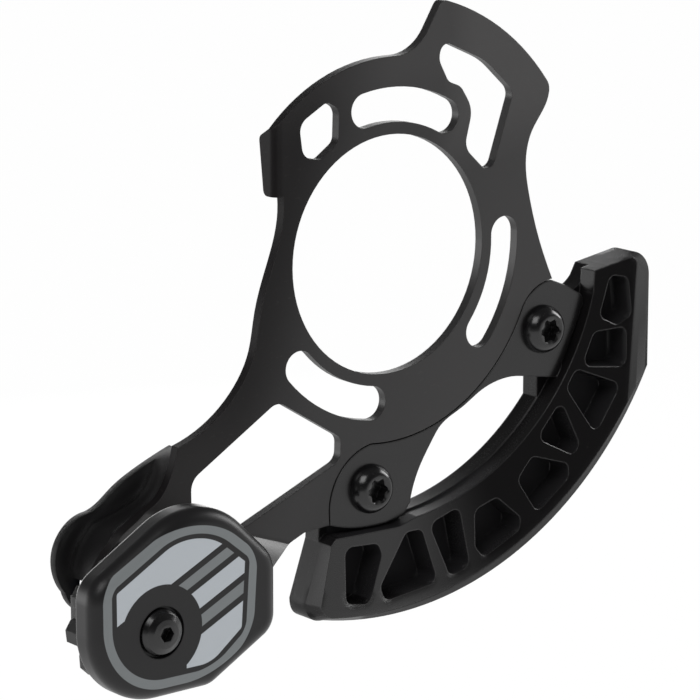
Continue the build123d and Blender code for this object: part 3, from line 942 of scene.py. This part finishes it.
@dataclass(frozen=True)
class Dressing:
    """A finish and the CAD nodes that carry it."""

    finish: Finish
    nodes: tuple[str, ...]

    def apply(self) -> bpy.types.Material:
        """Puts the finish on its nodes and reports each.

        Returns:
            The finish's material.
        """
        material = self.finish.material()
        for name in self.nodes:
            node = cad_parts[name]
            node.data.materials.clear()
            node.data.materials.append(material)
            log.info("%s: %s", name, material.name)
        return material


def add(name: str, data: Any) -> bpy.types.Object:
    """Adds an object to the scene.

    Args:
        name: name of the object.
        data: its mesh, lamp or camera.

    Returns:
        The new object.
    """
    made = bpy.data.objects.new(name, data)
    bpy.context.scene.collection.objects.link(made)
    return made


@dataclass
class Backplate:
    """Bent sheet that bolts to the frame."""

    sheet: Dressing = Dressing(Anodised(), ("backplate",))

    def dress(self) -> None:
        """Gives the sheet its finish."""
        self.sheet.apply()


@dataclass
class ButtonScrews:
    """Button head screws with six-lobe sockets and rolled threads, which stand for the plain solids."""

    node: str = "skid_bolts"
    seats: tuple[Pair, ...] = ((37.81, -19.18), (-4.47, -44.0))
    head_radius: float = 4.7
    head_height: float = 2.7
    skirt: float = 0.45
    crown_radius: float = 2.85
    roundness: float = 1.55
    entry_radius: float = 2.55
    entry_depth: float = 0.28
    socket_radius: float = 2.06
    socket_depth: float = 2.4
    lobe: float = 0.24
    lobes: int = 6
    shank_radius: float = 2.5
    pitch: float = 0.8
    thread_depth: float = 0.42
    thread_length: float = 5.2
    thread_rows: int = 52
    run_out: float = 6.0
    tip_length: float = 0.4
    tip_radius: float = 2.05
    dome_rows: int = 10
    steps: int = 96
    sharp_angle: float = 32.0

    def rings(self, tail: float) -> list[tuple[float, float, float, float]]:
        """Rings from the socket's floor over the head and along the shank.

        Args:
            tail: length from the head's seat to the tip.

        Returns:
            For each ring its height above the seat, its radius, its lobes and its thread.
        """
        bare = (0.0, 0.0)
        lobed = (self.socket_radius, self.lobe, 0.0)
        rows = [
            (self.head_height - self.socket_depth, *lobed),
            (self.head_height - self.entry_depth, *lobed),
            (self.head_height, self.entry_radius, *bare),
        ]
        power = 2.0 / self.roundness
        for row in range(self.dome_rows + 1):
            turn = 0.5 * math.pi * row / self.dome_rows
            rise = max(math.cos(turn), 0.0) ** power
            run = math.sin(turn) ** power
            height = self.skirt + (self.head_height - self.skirt) * rise
            rows.append((height, self.crown_radius + (self.head_radius - self.crown_radius) * run, *bare))
        rows += [(0.0, self.head_radius, *bare), (0.0, self.shank_radius, *bare)]
        for row in range(self.thread_rows + 1):
            share = row / self.thread_rows
            height = self.tip_length - tail + self.thread_length * (1 - share)
            rows.append((height, self.shank_radius, 0.0, self.thread_depth * min(1.0, self.run_out * share)))
        return rows + [(-tail, self.tip_radius, *bare)]

    def screw(self, mesh: bmesh.types.BMesh, place: Pair, seat: float, tail: float) -> None:
        """Adds one screw to a mesh.

        Args:
            mesh: mesh that takes the screw.
            place: X and Z of its axis.
            seat: Y of the face under its head.
            tail: length from there to the tip.
        """
        loops = []
        rows = self.rings(tail)
        for height, radius, lobe, thread in rows:
            loop = []
            for step in range(self.steps):
                angle = 2 * math.pi * step / self.steps
                groove = 0.5 - 0.5 * math.cos(2 * math.pi * height / self.pitch + angle)
                reach = radius + lobe * math.cos(self.lobes * angle) - thread * groove
                spot = (place[0] + reach * math.cos(angle), seat - height, place[1] + reach * math.sin(angle))
                loop.append(mesh.verts.new(Vector(spot) / MM_PER_M))
            loops.append(loop)
        floor, tip = (
            mesh.verts.new(Vector((place[0], seat - rows[end][0], place[1])) / MM_PER_M) for end in (0, -1)
        )
        for step in range(self.steps):
            after = (step + 1) % self.steps
            mesh.faces.new((floor, loops[0][after], loops[0][step]))
            mesh.faces.new((tip, loops[-1][step], loops[-1][after]))
            for first, second in zip(loops, loops[1:]):
                mesh.faces.new((first[step], first[after], second[after], second[step]))

    def build(self, material: bpy.types.Material) -> None:
        """Builds the screws in the place of the plain solids.

        Args:
            material: their finish.
        """
        low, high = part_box(self.node)
        seat = low[1] * MM_PER_M + self.head_height
        shape = bmesh.new()
        for place in self.seats:
            self.screw(shape, place, seat, high[1] * MM_PER_M - seat)
        bmesh.ops.recalc_face_normals(shape, faces=shape.faces[:])
        mesh = bpy.data.meshes.new("skid_screws")
        shape.to_mesh(mesh)
        shape.free()
        mesh.shade_smooth()
        mesh.set_sharp_from_angle(angle=math.radians(self.sharp_angle))
        mesh.materials.append(material)
        piece = add("skid_screws", mesh)
        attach(piece, "frame")
        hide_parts(self.node)
        log.info("%s: %s", piece.name, material.name)


@dataclass
class Skid:
    """Arc skid with its screws and nuts."""

    body: Dressing = Dressing(
        MouldedSkid(
            "skid_moulding", Tint.SKID, roughness=0.40, specular=0.02, grain_per_mm=4.0, grain_mm=0.010,
            edge_mm=0.45, rubbed=0.06, edge_wear_and_highlight=0.55,
        ),
        ("skid",),
    )
    nuts: Dressing = Dressing(Oxide("black_oxide_skid_screws"), ("skid_nuts",))
    screws: ButtonScrews = field(default_factory=ButtonScrews)

    def dress(self) -> None:
        """Gives the moulding and its hardware their finishes."""
        self.body.apply()
        self.screws.build(self.nuts.apply())


@dataclass
class LowerGuide:
    """Inner scoop, outer cover, roller and what holds them."""

    pieces: tuple[Dressing, ...] = (
        Dressing(
            MouldedScoop(
                "scoop_moulding", Tint.SCOOP, roughness=0.44, specular=0.18, grain_per_mm=6.0, grain_mm=0.004,
                edge_mm=3.2, rubbed=0.04, edge_wear_and_highlight=0.02,
            ),
            ("inner_guide",),
        ),
        Dressing(
            PrintedCover(
                "cover_moulding", Tint.COVER, roughness=0.34, specular=0.32, grain_per_mm=6.0, grain_mm=0.006,
                edge_mm=0.3, rubbed=0.04, edge_wear_and_highlight=0.2,
            ),
            ("outer_guide",),
        ),
        Dressing(
            Moulded(
                "roller_polyurethane", Tint.ROLLER, roughness=0.5, specular=0.4, grain_per_mm=3.0,
                grain_mm=0.01, edge_mm=0.35, rubbed=0.22,
            ),
            ("roller",),
        ),
        Dressing(
            Moulded(
                "seal_rubber", Tint.ROLLER, roughness=0.6, specular=0.4, grain_per_mm=8.0, grain_mm=0.006,
                edge_mm=0.1, rubbed=0.12,
            ),
            ("bearing_seal_front", "bearing_seal_rear"),
        ),
        Dressing(
            Turned("ground_bearing_steel", Tint.STEEL, roughness=0.18),
            ("bearing_outer_race", "bearing_inner_race", "bearing_balls", "bearing_cage"),
        ),
        Dressing(
            Turned("turned_spacer", Tint.ALUMINIUM, roughness=0.3, rings_per_mm=3.0),
            ("rear_spacer", "front_spacer"),
        ),
        Dressing(Oxide("black_oxide_roller_bolt", AXLE), ("roller_bolt", "lock_nut")),
        Dressing(
            Moulded(
                "nylon_ring", Tint.NYLON, roughness=0.45, specular=0.45, grain_per_mm=5.0, grain_mm=0.004,
                edge_mm=0.1, rubbed=0.05,
            ),
            ("lock_nut_insert",),
        ),
    )

    def dress(self) -> None:
        """Gives each piece of the lower guide its finish."""
        for piece in self.pieces:
            piece.apply()


@dataclass(frozen=True)
class Lamp:
    """Soft rectangular lamp aimed at the part."""

    name: str
    place: Triple
    size: Pair
    watts: float
    aim: Triple = (-0.01, 0.0, -0.01)

    def build(self) -> None:
        """Adds the lamp, which the camera doesn't see, to the scene."""
        data = bpy.data.lights.new(self.name, "AREA")
        data.shape = "RECTANGLE"
        data.size, data.size_y = self.size
        data.energy = self.watts
        lamp = add(self.name, data)
        lamp.location = self.place
        lamp.rotation_euler = (Vector(self.aim) - Vector(self.place)).to_track_quat("-Z", "Y").to_euler()
        lamp.visible_camera = False


@dataclass
class Studio:
    """Pale floor, white surroundings, soft lamps and the camera."""

    eye: Triple = (-0.41090, -0.51242, 0.12918)
    heading: float = 38.198
    pitch: float = 12.667
    lens_mm: float = 185.55
    sensor_mm: float = 36.0
    clip: Pair = (0.02, 20.0)
    floor_z: float = -0.30
    floor_half: float = 3.0
    floor_tone: float = 0.9
    ambient: float = 0.44
    sky_band: Pair = (-0.02, 0.32)
    sky_level: Pair = (0.8, 0.096)
    dim_side: Pair = (0.55, 0.92)
    dim_level: Pair = (1.0, 0.2)
    white: float = 1.0
    seen_share: float = 0.985
    gloss_share: float = 0.92
    lamps: tuple[Lamp, ...] = (
        Lamp("key", (-0.75, -0.55, 0.95), (0.7, 0.7), 6.0),
        Lamp("rear_left", (-0.72, 0.80, -0.06), (0.7, 0.4), 2.2),
        Lamp("right", (0.95, -0.15, 0.35), (0.4, 0.5), 4.0),
        Lamp("rear", (0.35, 1.05, 0.10), (0.9, 0.7), 7.0),
    )

    def camera(self) -> None:
        """Places the camera at the photograph's angle."""
        data = bpy.data.cameras.new("camera")
        data.lens = self.lens_mm
        data.sensor_width = self.sensor_mm
        data.clip_start, data.clip_end = self.clip
        cam = add("camera", data)
        cam.location = self.eye
        cam.rotation_euler = (math.radians(90.0 - self.pitch), 0.0, math.radians(-self.heading))
        bpy.context.scene.camera = cam

    def surroundings(self) -> None:
        """Makes the world: white to look at, plain light, and for gloss a dim sky and one dim side."""
        world = bpy.data.worlds.new("studio")
        bpy.context.scene.world = world
        g = Graph("studio", world)
        ray = g.node("ShaderNodeTexCoord").outputs["Generated"]
        height = g.node("ShaderNodeSeparateXYZ", None, {0: ray}).outputs["Z"]
        toward = g.vector("DOT_PRODUCT", ray, tuple(Vector(self.eye).normalized())).outputs["Value"]
        sky = g.ramp(height, *self.sky_band, *self.sky_level)
        gloss = sky * g.ramp(toward, *self.dim_side, *self.dim_level)
        glossy, seen, through = g.rays("Is Glossy Ray", "Is Camera Ray", "Is Transmission Ray")
        level = (1 - glossy) * self.ambient + glossy * gloss
        plain = seen | through
        strength = (1 - plain) * level + plain * self.white
        g.end(g.node("ShaderNodeBackground", None, {"Color": WHITE, "Strength": strength}))

    def floor(self) -> None:
        """Lays a plain pale floor well below the part, which hangs from its mount."""
        mesh = bpy.data.meshes.new("floor")
        signs = ((-1, -1), (1, -1), (1, 1), (-1, 1))
        corners = [(x * self.floor_half, y * self.floor_half, self.floor_z) for x, y in signs]
        mesh.from_pydata(corners, [], [tuple(range(len(corners)))])
        floor = add("floor", mesh)
        g = Graph("pale_floor")
        diffuse = g.node("ShaderNodeBsdfDiffuse", None, {"Color": (*(self.floor_tone,) * 3, 1.0)})
        glow = g.node("ShaderNodeEmission", None, {"Color": WHITE, "Strength": self.white})
        glossy, seen = g.rays("Is Glossy Ray", "Is Camera Ray")
        shown = seen * self.seen_share | glossy * self.gloss_share
        mesh.materials.append(g.end(g.blend(shown, diffuse, glow)))

    def build(self) -> None:
        """Sets up the whole studio."""
        bpy.context.scene.view_settings.view_transform = "Standard"
        self.camera()
        self.surroundings()
        self.floor()
        for lamp in self.lamps:
            lamp.build()


def main() -> None:
    """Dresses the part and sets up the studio."""
    logging.basicConfig(level=logging.INFO, format="%(name)s %(message)s")
    for assembly in (Backplate(), Skid(), LowerGuide()):
        assembly.dress()
    Studio().build()


if __name__ == "__main__":
    main()
